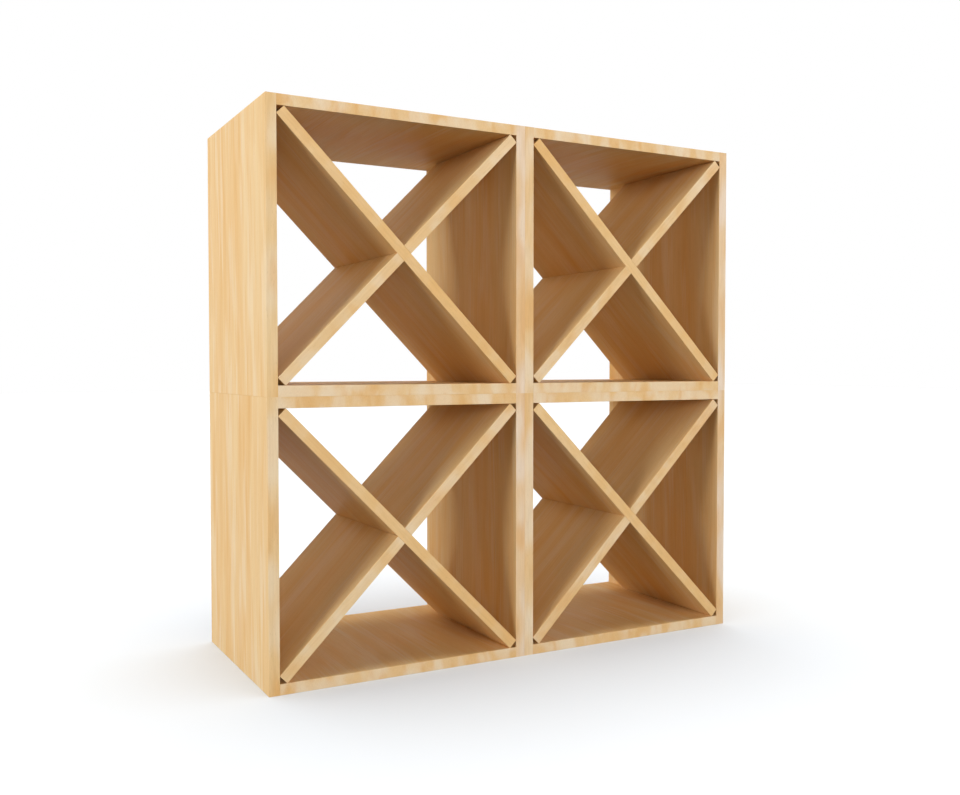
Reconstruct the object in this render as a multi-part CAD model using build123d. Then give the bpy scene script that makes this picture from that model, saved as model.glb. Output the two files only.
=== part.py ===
from build123d import *
import os
from math import atan, cos, degrees, radians, sin, sqrt, tan

# Wine rack: four equal boxes, two across and two high, open at the front and the back.
# Two boards cross in an X in each box and push in from the front.
# Millimetres, +X to the right, +Y to the back, +Z up. The origin is the middle of the base.

# One box
BOX_WIDTH = 500.0
BOX_HEIGHT = 500.0
BOX_DEPTH = 380.0
BOARD_THICKNESS = 19.0
EDGE_ROUND = 0.5  # sanded radius along the exposed edges

# Divider boards, flush with the front of the box and not as deep as it
DIVIDER_THICKNESS = 19.0
DIVIDER_DEPTH = 305.0
DIVIDER_PLAY = 0.3  # gap from a divider to each wall of its box
DIVIDER_SEAT = 1.0  # width of the flat where a divider's end edge bears on a wall
LAP_SIDE_PLAY = 0.2  # gap on each side of a board in the other board's slot
LAP_END_PLAY = 0.3  # gap between the ends of the two slots

# Blind bores and the dowels and pins in them
BLIND_SKIN = 7.0  # wood left behind a bore in the face of a board
GLUE_PLAY = 0.05  # radial gap round a glued dowel
LOOSE_PLAY = 0.15  # radial gap round the lifting end of a stacking dowel
BORE_END_SPACE = 0.5  # gap from the end of a dowel to the bottom of its bore
DOWEL_TIP = 1.0  # chamfer on both ends of every dowel and pin

# Glued dowels that join each end of a top or bottom board to a side
CORNER_DOWEL_DIAMETER = 8.0
CORNER_DOWEL_LENGTH = 30.0
CORNER_DOWEL_COUNT = 4
CORNER_DOWEL_INSET = 40.0  # from the front and back faces to the nearest dowel

# Dowels that locate an upper box on a lower one
STACKING_DOWEL_DIAMETER = 10.0
STACKING_DOWEL_INSET = 60.0  # from the walls, the front face and the back face

# Dowels that locate the two lower boxes side by side
LINKING_DOWEL_DIAMETER = 10.0
LINKING_DOWEL_INSET = 60.0  # from the front and back faces
LINKING_DOWEL_RISE = 100.0  # from the top and the bottom of the box

# Pins behind the dividers, which stop them level with the front
STOP_PIN_DIAMETER = 8.0
STOP_PIN_RISE = 20.0  # from the inside floor or ceiling to the pin's axis
STOP_PIN_PLAY = 0.2  # gap from a divider's rear edge to the pin

# Values that follow from the sizes above
FRONT = -BOX_DEPTH / 2
BACK = BOX_DEPTH / 2
INSIDE_WIDTH = BOX_WIDTH - 2 * BOARD_THICKNESS
INSIDE_HEIGHT = BOX_HEIGHT - 2 * BOARD_THICKNESS
DIVIDER_REAR = FRONT + DIVIDER_DEPTH
LAP_MIDDLE = FRONT + DIVIDER_DEPTH / 2
FACE_BORE_DEPTH = BOARD_THICKNESS - BLIND_SKIN
FACE_SEAT = FACE_BORE_DEPTH - BORE_END_SPACE  # length of a dowel held in a face bore

# Each box by name: which way it lies from the centre line, and how many boxes are under it
COLUMNS = {"left": -1, "right": 1}
ROWS = {"lower": 0, "upper": 1}
X_DIRECTION = Rot(0, 90, 0)
Z_DIRECTION = Rot(0, 0, 0)
LEAN_STEPS = 12  # rounds that settle the lean of a divider


def span_box(low, high):
    """Box between two opposite corners."""
    size = [b - a for a, b in zip(low, high)]
    middle = [(a + b) / 2 for a, b in zip(low, high)]
    return Pos(*middle) * Box(*size)


def rod(start, direction, length, diameter):
    """Plain round rod whose near end is centred on start; a negative length runs backwards."""
    half = Pos(0, 0, length / 2)
    return Pos(*start) * direction * half * Cylinder(diameter / 2, abs(length))


def dowel(start, direction, length, diameter):
    """Round rod with chamfered ends."""
    stick = rod(start, direction, length, diameter)
    return chamfer(stick.edges().filter_by(GeomType.CIRCLE), DOWEL_TIP)


def spaced(low, high, count):
    """Evenly spaced values from low to high."""
    step = (high - low) / (count - 1)
    return [low + i * step for i in range(count)]


def corner_dowel_places():
    """Front-to-back places of the dowels in a corner joint."""
    return spaced(FRONT + CORNER_DOWEL_INSET, BACK - CORNER_DOWEL_INSET, CORNER_DOWEL_COUNT)


def stacking_places(centre_x):
    """Plan positions of the stacking dowels of one column."""
    reach = INSIDE_WIDTH / 2 - STACKING_DOWEL_INSET
    ends = (FRONT + STACKING_DOWEL_INSET, BACK - STACKING_DOWEL_INSET)
    return [(centre_x + side * reach, y) for side in (-1, 1) for y in ends]


def linking_places(base_z):
    """Front-to-back places and heights of the linking dowels of one row."""
    ends = (FRONT + LINKING_DOWEL_INSET, BACK - LINKING_DOWEL_INSET)
    heights = (base_z + LINKING_DOWEL_RISE, base_z + BOX_HEIGHT - LINKING_DOWEL_RISE)
    return [(y, z) for y in ends for z in heights]


def stop_pin_places(base_z):
    """Front-to-back place and heights of the stop pins in one side board."""
    y = DIVIDER_REAR + STOP_PIN_PLAY + STOP_PIN_DIAMETER / 2
    floor = base_z + BOARD_THICKNESS
    return [(y, floor + STOP_PIN_RISE), (y, floor + INSIDE_HEIGHT - STOP_PIN_RISE)]


def side_board(outside_x, inward, base_z, linked):
    """Full-height side board, bored inside for dowels and pins, and outside where it is linked."""
    inside_x = outside_x + inward * BOARD_THICKNESS
    low_x, high_x = sorted((outside_x, inside_x))
    board = span_box((low_x, FRONT, base_z), (high_x, BACK, base_z + BOX_HEIGHT))
    outer_face = board.faces().sort_by(Axis.X)[0 if inward > 0 else -1]
    eased = board.edges().filter_by(Axis.Z) + outer_face.edges().filter_by(Axis.Y)
    board = fillet(eased, EDGE_ROUND)

    bores = []
    middles = (base_z + BOARD_THICKNESS / 2, base_z + BOX_HEIGHT - BOARD_THICKNESS / 2)
    for z in middles:
        for y in corner_dowel_places():
            bore_size = CORNER_DOWEL_DIAMETER + 2 * GLUE_PLAY
            bores.append(rod((inside_x, y, z), X_DIRECTION, -inward * FACE_BORE_DEPTH, bore_size))
    for y, z in stop_pin_places(base_z):
        bore_size = STOP_PIN_DIAMETER + 2 * GLUE_PLAY
        bores.append(rod((inside_x, y, z), X_DIRECTION, -inward * FACE_BORE_DEPTH, bore_size))
    if linked:
        for y, z in linking_places(base_z):
            bore_size = LINKING_DOWEL_DIAMETER + 2 * GLUE_PLAY
            bores.append(rod((outside_x, y, z), X_DIRECTION, inward * FACE_BORE_DEPTH, bore_size))
    return board - bores


def flat_board(centre_x, low_z, stacked_face, stacking_play):
    """Top or bottom board between the sides; stacked_face is 1 or -1 where a box meets it, else 0."""
    half = INSIDE_WIDTH / 2
    board = span_box(
        (centre_x - half, FRONT, low_z),
        (centre_x + half, BACK, low_z + BOARD_THICKNESS),
    )
    board = fillet(board.edges().filter_by(Axis.X), EDGE_ROUND)

    bores = []
    end_depth = CORNER_DOWEL_LENGTH - FACE_SEAT + BORE_END_SPACE
    middle_z = low_z + BOARD_THICKNESS / 2
    for side in (-1, 1):
        for y in corner_dowel_places():
            mouth = (centre_x + side * half, y, middle_z)
            bore_size = CORNER_DOWEL_DIAMETER + 2 * GLUE_PLAY
            bores.append(rod(mouth, X_DIRECTION, -side * end_depth, bore_size))
    if stacked_face:
        mouth_z = low_z + BOARD_THICKNESS if stacked_face > 0 else low_z
        bore_size = STACKING_DOWEL_DIAMETER + 2 * stacking_play
        for x, y in stacking_places(centre_x):
            bores.append(rod((x, y, mouth_z), Z_DIRECTION, -stacked_face * FACE_BORE_DEPTH, bore_size))
    return board - bores


def corner_dowels(centre_x, base_z):
    """The glued dowels in the four corner joints of one box."""
    dowels = []
    middles = (base_z + BOARD_THICKNESS / 2, base_z + BOX_HEIGHT - BOARD_THICKNESS / 2)
    for side in (-1, 1):
        start_x = centre_x + side * (INSIDE_WIDTH / 2 + FACE_SEAT)
        for z in middles:
            for y in corner_dowel_places():
                run = -side * CORNER_DOWEL_LENGTH
                dowels.append(dowel((start_x, y, z), X_DIRECTION, run, CORNER_DOWEL_DIAMETER))
    return Compound(dowels)


def divider_lie():
    """Tilt in degrees and half length of a square-ended board whose end edges meet both walls."""
    half_width = INSIDE_WIDTH / 2 - DIVIDER_PLAY
    half_height = INSIDE_HEIGHT / 2 - DIVIDER_PLAY
    half_thick = DIVIDER_THICKNESS / 2
    lean = 0.0
    for _ in range(LEAN_STEPS):
        rise = half_height - half_width + 2 * sqrt(2) * half_thick * sin(lean)
        lean = atan(rise / (half_width + half_height))
    half_length = (half_width + half_height) / (sqrt(2) * cos(lean)) - half_thick
    return 45 + degrees(lean), half_length


def divider_board(centre_x, centre_z, slope, slot_low, slot_high):
    """One board of the X, rising to the right for slope 1, with the slot for the other board."""
    tilt, half_length = divider_lie()
    length = 2 * half_length + sqrt(2) * DIVIDER_SEAT
    place = Pos(centre_x, LAP_MIDDLE, centre_z)
    blank = Box(length, DIVIDER_DEPTH, DIVIDER_THICKNESS)
    blank = fillet(blank.edges().filter_by(Axis.X), EDGE_ROUND)
    blank = place * Rot(0, -slope * tilt, 0) * blank

    reach_x = INSIDE_WIDTH / 2 - DIVIDER_PLAY
    reach_z = INSIDE_HEIGHT / 2 - DIVIDER_PLAY
    clear_inside = span_box(
        (centre_x - reach_x, FRONT, centre_z - reach_z),
        (centre_x + reach_x, BACK, centre_z + reach_z),
    )
    slot = Box(length, slot_high - slot_low, DIVIDER_THICKNESS + 2 * LAP_SIDE_PLAY)
    slot_place = Pos(centre_x, (slot_low + slot_high) / 2, centre_z)
    slot = slot_place * Rot(0, slope * tilt, 0) * slot
    return (blank & clear_inside) - slot


def stop_pins(centre_x, base_z):
    """The pins in both sides of one box; each ends on the middle plane of the divider before it."""
    tilt, _ = divider_lie()
    reach = STOP_PIN_RISE / tan(radians(tilt))
    pins = []
    for side in (-1, 1):
        start_x = centre_x + side * (INSIDE_WIDTH / 2 + FACE_SEAT)
        for y, z in stop_pin_places(base_z):
            run = -side * (FACE_SEAT + reach)
            pins.append(dowel((start_x, y, z), X_DIRECTION, run, STOP_PIN_DIAMETER))
    return Compound(pins)


def stacking_dowels(centre_x):
    """The dowels that stand in the lower box of a column and locate the upper one."""
    dowels = []
    for x, y in stacking_places(centre_x):
        start = (x, y, BOX_HEIGHT - FACE_SEAT)
        dowels.append(dowel(start, Z_DIRECTION, 2 * FACE_SEAT, STACKING_DOWEL_DIAMETER))
    return Compound(dowels)


def linking_dowels(base_z):
    """The dowels across the centre line that locate two boxes of a row."""
    dowels = []
    for y, z in linking_places(base_z):
        dowels.append(dowel((-FACE_SEAT, y, z), X_DIRECTION, 2 * FACE_SEAT, LINKING_DOWEL_DIAMETER))
    return Compound(dowels)


def box_pieces(column, row):
    """All pieces of one box by name."""
    side = COLUMNS[column]
    base_z = ROWS[row] * BOX_HEIGHT
    centre_x = side * BOX_WIDTH / 2
    centre_z = base_z + BOX_HEIGHT / 2
    linked = row == "lower"
    top_meets = 1 if row == "lower" else 0
    bottom_meets = -1 if row == "upper" else 0
    before_middle = (FRONT, LAP_MIDDLE + LAP_END_PLAY / 2)
    behind_middle = (LAP_MIDDLE - LAP_END_PLAY / 2, DIVIDER_REAR)
    top_z = base_z + BOX_HEIGHT - BOARD_THICKNESS
    return {
        "outer_side": side_board(side * BOX_WIDTH, -side, base_z, False),
        "inner_side": side_board(0, side, base_z, linked),
        "top": flat_board(centre_x, top_z, top_meets, GLUE_PLAY),
        "bottom": flat_board(centre_x, base_z, bottom_meets, LOOSE_PLAY),
        "rising_divider": divider_board(centre_x, centre_z, 1, *before_middle),
        "falling_divider": divider_board(centre_x, centre_z, -1, *behind_middle),
        "corner_dowels": corner_dowels(centre_x, base_z),
        "stop_pins": stop_pins(centre_x, base_z),
    }


nodes = {}
for row in ROWS:
    for column in COLUMNS:
        for piece, solid in box_pieces(column, row).items():
            nodes[f"{row}_{column}_{piece}"] = solid
for column, side in COLUMNS.items():
    nodes[f"{column}_stacking_dowels"] = stacking_dowels(side * BOX_WIDTH / 2)
nodes["lower_linking_dowels"] = linking_dowels(0)

os.makedirs("parts", exist_ok=True)
for name, solid in nodes.items():
    export_step(solid, f"parts/{name}.step")
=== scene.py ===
from math import pi, radians

import bpy
from mathutils import Euler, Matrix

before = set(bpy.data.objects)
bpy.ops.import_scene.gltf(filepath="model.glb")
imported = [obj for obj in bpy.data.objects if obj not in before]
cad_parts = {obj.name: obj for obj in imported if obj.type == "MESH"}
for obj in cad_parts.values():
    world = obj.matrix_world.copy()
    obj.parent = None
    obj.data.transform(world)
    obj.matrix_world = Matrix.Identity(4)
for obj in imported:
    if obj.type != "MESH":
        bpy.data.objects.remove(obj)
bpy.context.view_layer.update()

# Camera, fitted to the corners of the rack in a 960 x 795 frame, in metres and degrees
IMAGE_WIDTH_PX = 960
FOCAL_PX = 987.3
OPTICAL_CENTRE_X_PX = 460
SENSOR_MM = 36.0
CAMERA_PLACE = (-0.9882, -1.7746, 0.5502)
CAMERA_YAW = 28.19
CAMERA_PITCH = 1.79
CAMERA_ROLL = 0.051
CAMERA_REACH = 100

# Floor and surroundings
FLOOR_SIZE = 40.0
FLOOR_COLOUR = (0.65, 0.672, 0.693, 1)
FLOOR_BOUNCE = (0.12, 0.12, 0.12, 1)
FLOOR_ROUGHNESS = 0.9
WORLD_COLOUR = (1, 1, 1, 1)
AMBIENT = 0.05

# Lights: azimuth, elevation and spread in degrees, and level
RACK_LIGHTS = {
    "front_light": (0, 3, 36, 1.02),
    "right_light": (92, 8, 40, 0.90),
    "left_light": (-92, 8, 40, 0.98),
    "back_light": (180, 3, 36, 0.80),
    "overhead_light": (180, 88, 24, 0.40),
}
FLOOR_LIGHTS = {
    "floor_light": (180, 89, 58, 1.04),
    "floor_fill": (180, 90, 160, 0.54),
}

# Ways the grain runs: the turn about X, Y and Z, in degrees, that lays it along X
GRAIN_UPRIGHT = (0, 90, 0)
GRAIN_ACROSS = (0, 0, 0)
GRAIN_FRONT_TO_BACK = (0, 0, -90)
GRAIN_RISING = (0, 45, 0)
GRAIN_FALLING = (0, -45, 0)

# Where a board is cut from the figure: its first place in line, and the step to the next, in metres
FIRST_SEED = 901
SEED_STEP = (3.71, 1.93, 0.77)

# Sizes in the wood figure: length along, width across and depth through the board, in metres
SWAY = (0.70, 0.25, 0.30)
WAVE = (0.17, 0.050, 0.10)
BAND = (0.60, 0.070, 0.40)
RING = (0.70, 0.028, 0.14)
FADE = (0.12, 0.036, 0.20)
PALE_PATCH = (0.20, 0.030, 0.06)
AMBER_PATCH = (0.15, 0.016, 0.05)
STREAK = (0.45, 0.0040, 0.025)
FIBRE = (0.06, 0.0012, 0.0035)
PORE = (0.010, 0.0005, 0.0011)
BLOTCH_ACROSS = (0.036, 0.050)

# How far the grain wanders across the board, in metres
SWAY_REACH = 0.030
WAVE_REACH = 0.0025

# Detail of the noise, and the middle of its range
SMOOTH_DETAIL = 1.0
FINE_DETAIL = 2.0
RING_DETAIL = 3.0
NOISE_MIDDLE = 0.5

# Strength of rings and bands, and the part of it that is left on front edges and on end grain
RING_WEAK = 0.26
RING_STRONG = 0.76
BAND_STRENGTH = 0.38
RING_ON_EDGE = 0.45
FIGURE_ON_END = 0.20

# Noise at which a mark begins and at which it is full
FADE_RANGE = (0.32, 0.68)
TONE_RANGE = (-0.21, 0.21)
FIBRE_RANGE = (0.25, 0.75)
PORE_RANGE = (0.66, 0.74)
PORE_SHARE = 0.20

# Wood colours, as linear light
WOOD_DEEP = (0.82, 0.515, 0.225, 1)
WOOD_LIGHT = (0.87, 0.655, 0.385, 1)
WOOD_CREAM = (0.90, 0.755, 0.565, 1)
WOOD_AMBER = (0.79, 0.445, 0.16, 1)
PORE_BROWN = (0.42, 0.24, 0.10, 1)
FIBRE_DARK = (0.955, 0.94, 0.92, 1)
FIBRE_LIGHT = (1.02, 1.02, 1.02, 1)

# Patches on a board: size, feathering by fine streaks, range, share on faces and on edges, and colour
PATCHES = (
    (PALE_PATCH, 0.60, (0.49, 0.68), 0.44, 0.62, WOOD_CREAM),
    (AMBER_PATCH, -0.60, (0.54, 0.74), 0.40, 0.54, WOOD_AMBER),
)

# Blotches on front edges: range, share and colour
BLOTCHES = (
    ((0.47, 0.66), 0.65, WOOD_CREAM),
    ((0.45, 0.28), 0.60, WOOD_AMBER),
)

# Satin lacquer, with the fibre felt through it
ROUGHNESS = (0.42, 0.58)
SPECULAR = 0.03
BUMP_STRENGTH = 0.25
BUMP_DISTANCE = 0.0003

# Tints of faces, front edges and end grain
TAN = (1.0, 0.98, 0.92, 1)
PLAIN = (1.0, 1.0, 1.0, 1)
PALE = (1.0, 1.01, 1.12, 1)
# Painted shade: the warm, dimmer tint stands in for the warm bounce light deep inside the boxes
WARM_PAINTED_SHADE = (1.0, 0.945, 0.815, 1)
BEECH = (0.93, 0.87, 0.82, 1)
EDGE_TAN = (1.0, 0.95, 0.84, 1)
EDGE_PLAIN = (1.0, 0.985, 0.96, 1)
END_GRAIN = (0.93, 0.88, 0.78, 1)

# Looks of faces: tint and strength of the figure; the inside and divider faces carry the warm tint of
# painted shade
OUTSIDE_FACE = (TAN, 1.0)
SHADED_INSIDE_FACE = (WARM_PAINTED_SHADE, 0.70)
SHADED_DIVIDER_FACE = (WARM_PAINTED_SHADE, 0.55)
BEECH_FACE = (BEECH, 1.0)

# Looks of front and rear edges: tint, how blotched they are and how long the blotches are, in metres
SIDE_EDGE_TAN = (TAN, 1.0, 0.130)
SIDE_EDGE_PALE = (PALE, 1.0, 0.130)
SIDE_EDGE_PLAIN = (PLAIN, 1.0, 0.130)
RAIL_EDGE = (EDGE_PLAIN, 0.8, 0.028)
RISING_EDGE = (EDGE_PLAIN, 0.6, 0.042)
FALLING_EDGE = (EDGE_TAN, 0.25, 0.030)
BEECH_EDGE = (BEECH, 0.0, 0.030)

# Boards of a box: the way the grain runs, the look of the faces and the look of the edges
CROSS_BOARDS = {
    "top": (GRAIN_FRONT_TO_BACK, SHADED_INSIDE_FACE, RAIL_EDGE),
    "bottom": (GRAIN_FRONT_TO_BACK, SHADED_INSIDE_FACE, RAIL_EDGE),
    "rising_divider": (GRAIN_RISING, SHADED_DIVIDER_FACE, RISING_EDGE),
    "falling_divider": (GRAIN_FALLING, SHADED_DIVIDER_FACE, FALLING_EDGE),
}
COLUMNS = {
    "left": {
        "outer_side": (GRAIN_UPRIGHT, OUTSIDE_FACE, SIDE_EDGE_TAN),
        "inner_side": (GRAIN_UPRIGHT, SHADED_INSIDE_FACE, SIDE_EDGE_PALE),
        **CROSS_BOARDS,
    },
    "right": {
        "outer_side": (GRAIN_UPRIGHT, SHADED_INSIDE_FACE, SIDE_EDGE_PALE),
        "inner_side": (GRAIN_UPRIGHT, SHADED_INSIDE_FACE, SIDE_EDGE_PLAIN),
        **CROSS_BOARDS,
    },
}
ROWS = ("lower", "upper")

# Sockets of a Mix node that mixes colours
MIX_SHARE = 0
MIX_FIRST = 6
MIX_SECOND = 7
MIX_RESULT = 2


def turn(angles):
    """Turn about X, Y and Z by angles in degrees."""
    return Euler([radians(angle) for angle in angles])


def fill(tree, socket, value):
    """Link a socket where the value is another socket, and set it otherwise."""
    if isinstance(value, bpy.types.NodeSocket):
        tree.links.new(value, socket)
    else:
        socket.default_value = value


def add_node(tree, kind, inputs=None, **settings):
    """New node with its settings and inputs."""
    node = tree.nodes.new(kind)
    for name, value in settings.items():
        setattr(node, name, value)
    for key, value in (inputs or {}).items():
        fill(tree, node.inputs[key], value)
    return node


def calculate(tree, operation, first, second=0.0, third=0.0):
    """Result of one Math node."""
    node = add_node(tree, "ShaderNodeMath", {0: first, 1: second, 2: third}, operation=operation)
    return node.outputs[0]


def between(tree, share, first, second):
    """Number that goes from first to second as a share goes from 0 to 1."""
    return calculate(tree, "MULTIPLY_ADD", share, second - first, first)


def mix_colour(tree, share, first, second, blend="MIX"):
    """Colour that goes from first to second as a share goes from 0 to 1."""
    inputs = {MIX_SHARE: share, MIX_FIRST: first, MIX_SECOND: second}
    node = add_node(tree, "ShaderNodeMix", inputs, data_type="RGBA", blend_type=blend)
    return node.outputs[MIX_RESULT]


def tinted(tree, colour, tint):
    """Colour times a tint."""
    return mix_colour(tree, 1.0, colour, tint, "MULTIPLY")


def ramp(tree, value, limits):
    """Smooth step of a value, from 0 at the first limit to 1 at the second."""
    low, high = limits
    node = add_node(
        tree,
        "ShaderNodeMapRange",
        {"Value": value, "From Min": low, "From Max": high},
        interpolation_type="SMOOTHSTEP",
    )
    return node.outputs["Result"]


def new_material(name):
    """Material with an empty Principled shader, and its tree and shader node."""
    material = bpy.data.materials.new(name)
    material.use_nodes = True
    tree = material.node_tree
    return material, tree, tree.nodes["Principled BSDF"]


def figure(tree, place, size, detail=SMOOTH_DETAIL):
    """Noise with marks of the given length along, width across and depth through the board."""
    scale = [1 / length for length in size]
    scaled = add_node(tree, "ShaderNodeVectorMath", {0: place, 1: scale}, operation="MULTIPLY")
    inputs = {"Vector": scaled.outputs[0], "Scale": 1.0, "Detail": detail}
    return add_node(tree, "ShaderNodeTexNoise", inputs).outputs["Fac"]


def centred(tree, noise):
    """Noise about 0."""
    return calculate(tree, "SUBTRACT", noise, NOISE_MIDDLE)


def shifted(tree, place, size, reach):
    """Place pushed across the board, by up to the given reach, as the grain wanders."""
    shift = between(tree, figure(tree, place, size), -reach, reach)
    offset = add_node(tree, "ShaderNodeCombineXYZ", {"Y": shift}).outputs[0]
    return add_node(tree, "ShaderNodeVectorMath", {0: place, 1: offset}, operation="ADD").outputs[0]


def board_place(tree, grain_turn, seed):
    """Place in a board's own frame, with X along the grain and its own stretch of it."""
    inputs = {
        "Vector": add_node(tree, "ShaderNodeTexCoord").outputs["Object"],
        "Rotation": turn(grain_turn),
        "Location": [seed * step for step in SEED_STEP],
    }
    return add_node(tree, "ShaderNodeMapping", inputs).outputs[0]


def facing(tree, grain_turn):
    """How far a surface faces front or back, and how far it is other end grain, from 0 to 1."""
    normal = add_node(tree, "ShaderNodeTexCoord").outputs["Normal"]
    front_to_back = add_node(tree, "ShaderNodeSeparateXYZ", {0: normal}).outputs["Y"]
    edge = calculate(tree, "ABSOLUTE", front_to_back)
    grain = turn(grain_turn).to_matrix()[0]
    along = add_node(tree, "ShaderNodeVectorMath", {0: normal, 1: grain}, operation="DOT_PRODUCT")
    along = calculate(tree, "ABSOLUTE", along.outputs["Value"])
    end = calculate(tree, "MULTIPLY", along, calculate(tree, "SUBTRACT", 1.0, edge))
    return edge, end


def ring_colour(tree, board, place, ring, edge, figured):
    """Growth rings and broad bands, between the deep and the light colour."""
    fade = ramp(tree, figure(tree, board, FADE), FADE_RANGE)
    strength = between(tree, fade, RING_WEAK, RING_STRONG)
    strength = calculate(tree, "MULTIPLY", strength, between(tree, edge, 1.0, RING_ON_EDGE))
    strength = calculate(tree, "MULTIPLY", strength, figured)
    tone = calculate(tree, "MULTIPLY", centred(tree, ring), strength)
    band = centred(tree, figure(tree, place, BAND))
    tone = calculate(tree, "MULTIPLY_ADD", band, BAND_STRENGTH, tone)
    return mix_colour(tree, ramp(tree, tone, TONE_RANGE), WOOD_DEEP, WOOD_LIGHT)


def add_patches(tree, body, place, edge, figured, mottling):
    """Pale and amber patches, which fine streaks feather on the faces."""
    streak = centred(tree, figure(tree, place, STREAK, FINE_DETAIL))
    streak = calculate(tree, "MULTIPLY", streak, calculate(tree, "SUBTRACT", 1.0, edge))
    for size, feather, limits, on_face, on_edge, colour in PATCHES:
        patch = calculate(tree, "MULTIPLY_ADD", streak, feather, figure(tree, place, size))
        share = between(tree, edge, on_face, on_edge * mottling)
        share = calculate(tree, "MULTIPLY", share, figured)
        share = calculate(tree, "MULTIPLY", ramp(tree, patch, limits), share)
        body = mix_colour(tree, share, body, colour)
    return body


def add_blotches(tree, body, board, edge, mottling, length):
    """Pale and amber blotches along the front and rear edges."""
    blotch = figure(tree, board, (length, *BLOTCH_ACROSS))
    mottled = calculate(tree, "MULTIPLY", edge, mottling)
    for limits, strength, colour in BLOTCHES:
        share = calculate(tree, "MULTIPLY", mottled, strength)
        share = calculate(tree, "MULTIPLY", ramp(tree, blotch, limits), share)
        body = mix_colour(tree, share, body, colour)
    return body


def add_fibre(tree, body, fibre, pores):
    """Fine fibre and short dark pores."""
    fleck = mix_colour(tree, ramp(tree, fibre, FIBRE_RANGE), FIBRE_DARK, FIBRE_LIGHT)
    return mix_colour(tree, pores, tinted(tree, body, fleck), PORE_BROWN)


def add_tints(tree, body, edge, end, face_tone_and_shade, edge_tint):
    """Tints of the faces, of the front and rear edges, and of end grain; on inside boards and
    dividers the face tint is painted shade.
    """
    body = mix_colour(tree, edge, tinted(tree, body, face_tone_and_shade), tinted(tree, body, edge_tint))
    return mix_colour(tree, end, body, tinted(tree, body, END_GRAIN))


def wood(name, seed, grain_turn, face_look, edge_look):
    """Pale straight-grained wood under a satin lacquer, solid through the board."""
    # The face tint is the wood's own tone on outside boards, and painted shade on inside boards and
    # dividers
    face_tone_and_shade, face_figure = face_look
    edge_tint, mottling, blotch_length = edge_look
    material, tree, shader = new_material(name)
    board = board_place(tree, grain_turn, seed)
    place = shifted(tree, shifted(tree, board, SWAY, SWAY_REACH), WAVE, WAVE_REACH)
    edge, end = facing(tree, grain_turn)
    figured = between(tree, end, 1.0, FIGURE_ON_END)
    figured = calculate(tree, "MULTIPLY", figured, between(tree, edge, face_figure, 1.0))
    ring = figure(tree, place, RING, RING_DETAIL)
    fibre = figure(tree, place, FIBRE, FINE_DETAIL)
    pores = calculate(tree, "MULTIPLY", ramp(tree, figure(tree, place, PORE), PORE_RANGE), PORE_SHARE)

    body = ring_colour(tree, board, place, ring, edge, figured)
    body = add_patches(tree, body, place, edge, figured, mottling)
    body = add_blotches(tree, body, board, edge, mottling, blotch_length)
    body = add_fibre(tree, body, fibre, pores)
    body = add_tints(tree, body, edge, end, face_tone_and_shade, edge_tint)

    height = calculate(tree, "SUBTRACT", fibre, pores)
    inputs = {"Height": height, "Strength": BUMP_STRENGTH, "Distance": BUMP_DISTANCE}
    fill(tree, shader.inputs["Base Color"], body)
    fill(tree, shader.inputs["Roughness"], between(tree, ring, *ROUGHNESS))
    fill(tree, shader.inputs["Specular IOR Level"], SPECULAR)
    fill(tree, shader.inputs["Normal"], add_node(tree, "ShaderNodeBump", inputs).outputs[0])
    return material


def paint(node, material):
    """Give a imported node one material."""
    slots = bpy.data.objects[node].data.materials
    slots.clear()
    slots.append(material)


def dress_boxes():
    """Wood for every board, each with its own stretch of grain, and for the dowels and pins."""
    seed = FIRST_SEED
    for row in ROWS:
        for column, boards in COLUMNS.items():
            for board, look in boards.items():
                node = f"{row}_{column}_{board}"
                paint(node, wood(f"wood_{node}", seed, *look))
                seed += 1
    across = wood("beech_across", seed, GRAIN_ACROSS, BEECH_FACE, BEECH_EDGE)
    upright = wood("beech_upright", seed + 1, GRAIN_UPRIGHT, BEECH_FACE, BEECH_EDGE)
    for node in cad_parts:
        if node.endswith("stacking_dowels"):
            paint(node, upright)
        elif node.endswith(("dowels", "pins")):
            paint(node, across)


def seen_directly(tree):
    """1 for what the camera sees, straight or in a reflection, and 0 for light bounced about."""
    path = add_node(tree, "ShaderNodeLightPath")
    seen = calculate(tree, "MAXIMUM", path.outputs["Is Camera Ray"], path.outputs["Is Glossy Ray"])
    return calculate(tree, "MAXIMUM", seen, path.outputs["Is Transmission Ray"])


def floor_material():
    """Pale matt surface that throws little light back at the rack."""
    material, tree, shader = new_material("floor_pale")
    shader.inputs["Base Color"].default_value = FLOOR_COLOUR
    shader.inputs["Roughness"].default_value = FLOOR_ROUGHNESS
    shader.inputs["Specular IOR Level"].default_value = 0.0
    bounce = add_node(tree, "ShaderNodeBsdfDiffuse", {"Color": FLOOR_BOUNCE})
    inputs = {0: seen_directly(tree), 1: bounce.outputs[0], 2: shader.outputs[0]}
    blend = add_node(tree, "ShaderNodeMixShader", inputs)
    tree.links.new(blend.outputs[0], tree.nodes["Material Output"].inputs["Surface"])
    return material


def make_floor():
    """Floor that keeps the shadow of the rack."""
    half = FLOOR_SIZE / 2
    mesh = bpy.data.meshes.new("floor")
    corners = [(-half, -half, 0), (half, -half, 0), (half, half, 0), (-half, half, 0)]
    mesh.from_pydata(corners, [], [(0, 1, 2, 3)])
    mesh.materials.append(floor_material())
    floor = bpy.data.objects.new("floor", mesh)
    bpy.context.collection.objects.link(floor)
    return floor


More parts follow.
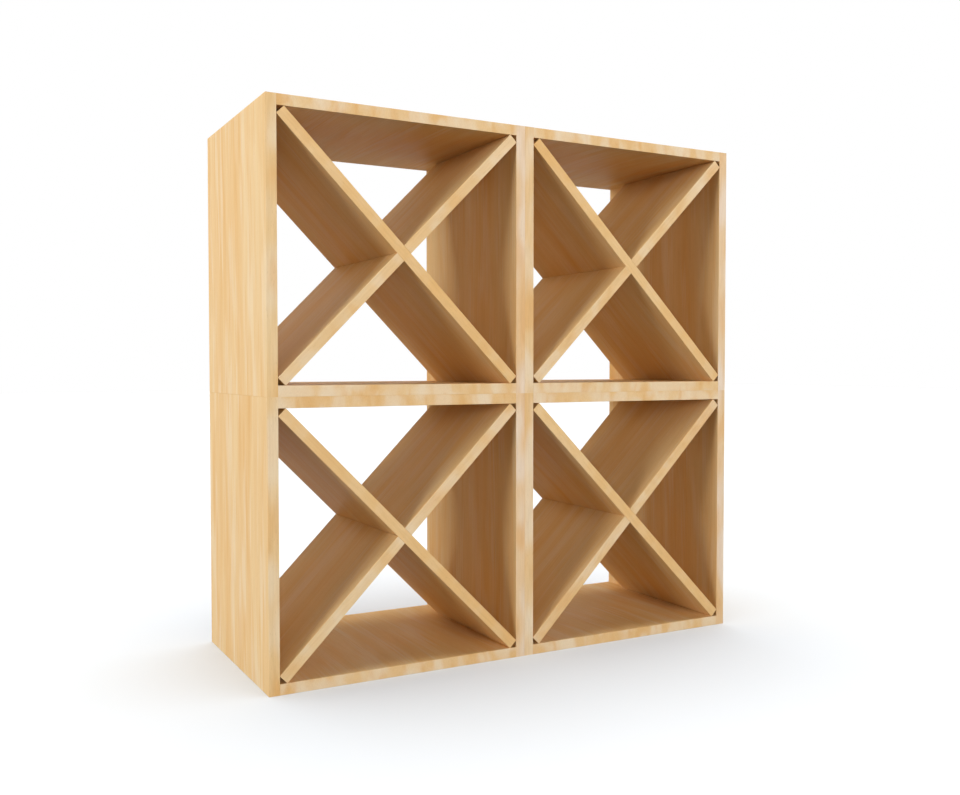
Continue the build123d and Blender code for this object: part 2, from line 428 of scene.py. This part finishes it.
def make_world():
    """White to the camera and in reflections, dimmer as a light."""
    world = bpy.data.worlds.new("studio")
    bpy.context.scene.world = world
    world.use_nodes = True
    tree = world.node_tree
    background = tree.nodes["Background"]
    background.inputs["Color"].default_value = WORLD_COLOUR
    fill(tree, background.inputs["Strength"], between(tree, seen_directly(tree), AMBIENT, 1.0))


def soft_sun(name, azimuth, elevation, spread, level, receivers):
    """Broad even light from a direction; level 1 shows a facing colour as it is written."""
    light = bpy.data.lights.new(name, "SUN")
    light.energy = level * pi
    light.angle = radians(spread)
    lamp = bpy.data.objects.new(name, light)
    lamp.rotation_euler = turn((90 - elevation, 0, azimuth))
    lamp.light_linking.receiver_collection = receivers
    lamp.visible_glossy = False
    bpy.context.collection.objects.link(lamp)


def make_lights(floor):
    """Soft lights on the rack from all four sides and from overhead, and two on the floor alone."""
    floor_alone = bpy.data.collections.new("floor_alone")
    floor_alone.objects.link(floor)
    all_but_floor = bpy.data.collections.new("all_but_floor")
    all_but_floor.objects.link(floor)
    all_but_floor.collection_objects[0].light_linking.link_state = "EXCLUDE"
    for name, light in RACK_LIGHTS.items():
        soft_sun(name, *light, all_but_floor)
    for name, light in FLOOR_LIGHTS.items():
        soft_sun(name, *light, floor_alone)


def make_camera():
    """Camera at the photograph's place."""
    data = bpy.data.cameras.new("camera")
    data.sensor_fit = "HORIZONTAL"
    data.sensor_width = SENSOR_MM
    data.lens = FOCAL_PX / IMAGE_WIDTH_PX * SENSOR_MM
    data.shift_x = (IMAGE_WIDTH_PX / 2 - OPTICAL_CENTRE_X_PX) / IMAGE_WIDTH_PX
    data.clip_end = CAMERA_REACH
    camera = bpy.data.objects.new("camera", data)
    camera.location = CAMERA_PLACE
    camera.rotation_euler = turn((90 - CAMERA_PITCH, CAMERA_ROLL, -CAMERA_YAW))
    bpy.context.collection.objects.link(camera)
    bpy.context.scene.camera = camera


dress_boxes()
make_world()
make_lights(make_floor())
make_camera()
bpy.context.scene.view_settings.view_transform = "Standard"
